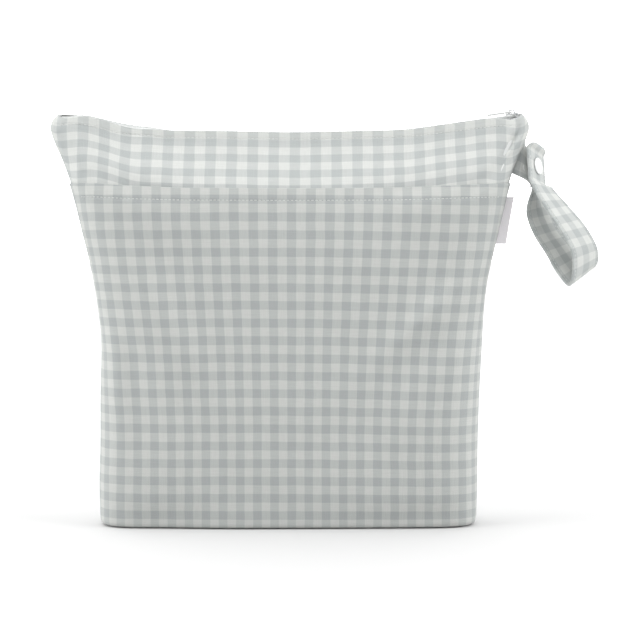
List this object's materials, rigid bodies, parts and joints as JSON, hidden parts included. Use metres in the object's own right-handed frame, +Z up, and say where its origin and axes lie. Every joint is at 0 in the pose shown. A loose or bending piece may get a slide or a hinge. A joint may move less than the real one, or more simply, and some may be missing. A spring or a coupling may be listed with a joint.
{
  "type": "cloth diaper wet bag",
  "caption": "Standing cloth wet bag with a boxed base, zipped mouth, front slip pocket and snap-closed carry strap.",
  "frame": {"origin": "middle of the flat base, on the surface that it stands on", "axes": "+X to the bag's right side with the strap, +Y to its back, +Z up; the pocket is on -Y"},
  "size_m": [0.3963, 0.0851, 0.3017],
  "materials": {
    "gingham_cloth": "laminated cotton, woven gingham check, matte",
    "zip_tape_weave": "white woven polyester tape",
    "zip_coil": "white moulded nylon coil",
    "slider_metal": "nickel-plated die casting",
    "pull_white": "white lacquered tab",
    "stud_plastic": "white moulded resin, semi-gloss",
    "label_ribbon": "white woven ribbon, bare"
  },
  "bodies": {
    "bag": {"bag_body": "gingham_cloth", "front_pocket": "gingham_cloth", "zip_tape_front": "zip_tape_weave", "zip_tape_back": "zip_tape_weave", "zip_chain": "zip_coil", "zip_slider": "slider_metal", "carry_strap": "gingham_cloth", "stud_cap": "stud_plastic", "stud_socket": "stud_plastic", "stud_post": "stud_plastic", "stud_back_cap": "stud_plastic", "side_label": "label_ribbon"},
    "pull": {"zip_pull": "pull_white"}
  },
  "joints": [
    {"name": "pull_hinge", "type": "hinge", "parent": "bag", "child": "pull", "pos_m": [0.16154, 0, 0.29958], "axis": [0, 1, 0], "range_deg": [0, 165]}
  ]
}
